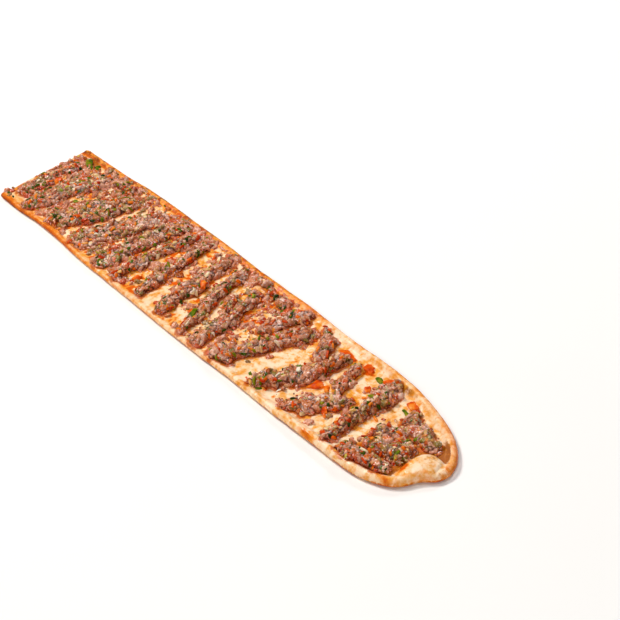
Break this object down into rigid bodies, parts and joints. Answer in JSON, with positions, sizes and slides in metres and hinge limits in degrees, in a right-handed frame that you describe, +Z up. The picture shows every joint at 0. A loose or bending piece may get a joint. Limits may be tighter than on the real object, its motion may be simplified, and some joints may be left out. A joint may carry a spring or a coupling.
{
  "type": "meat flatbread",
  "caption": "Cut half of a long thin flatbread with a raised rim, a rounded folded tip and rows of minced meat topping, for eating.",
  "frame": {"origin": "middle of the flat underside's bounding rectangle, on the surface it rests on", "axes": "+X along the length towards the rounded tip, +Y across towards the edge that tapers sooner, +Z up"},
  "size_m": [0.5342, 0.0964, 0.0099],
  "materials": {
    "baked_dough": "dry baked wheat dough, cream with golden and brown patches",
    "minced_meat": "cooked minced meat, moist and slightly oily",
    "green_pepper": "cooked green pepper, moist",
    "tomato": "cooked tomato flesh, moist"
  },
  "bodies": {
    "root": {"dough": "baked_dough", "meat_ridge_01": "minced_meat", "meat_ridge_02": "minced_meat", "meat_ridge_03": "minced_meat", "meat_ridge_04": "minced_meat", "meat_ridge_05": "minced_meat", "meat_ridge_06": "minced_meat", "meat_ridge_07": "minced_meat", "meat_ridge_08": "minced_meat", "meat_ridge_09": "minced_meat", "meat_ridge_10": "minced_meat", "meat_ridge_11": "minced_meat", "meat_ridge_12": "minced_meat", "meat_ridge_13": "minced_meat", "meat_ridge_14": "minced_meat", "meat_ridge_15": "minced_meat", "meat_ridge_16": "minced_meat", "meat_ridge_17": "minced_meat", "meat_ridge_18": "minced_meat", "meat_ridge_19": "minced_meat", "meat_ridge_20": "minced_meat", "meat_ridge_21": "minced_meat", "meat_ridge_22": "minced_meat", "meat_ridge_23": "minced_meat", "pepper_piece_01": "green_pepper", "tomato_piece_01": "tomato", "tomato_piece_02": "tomato", "tomato_piece_03": "tomato", "tomato_piece_04": "tomato", "tomato_piece_05": "tomato"}
  },
  "joints": []
}
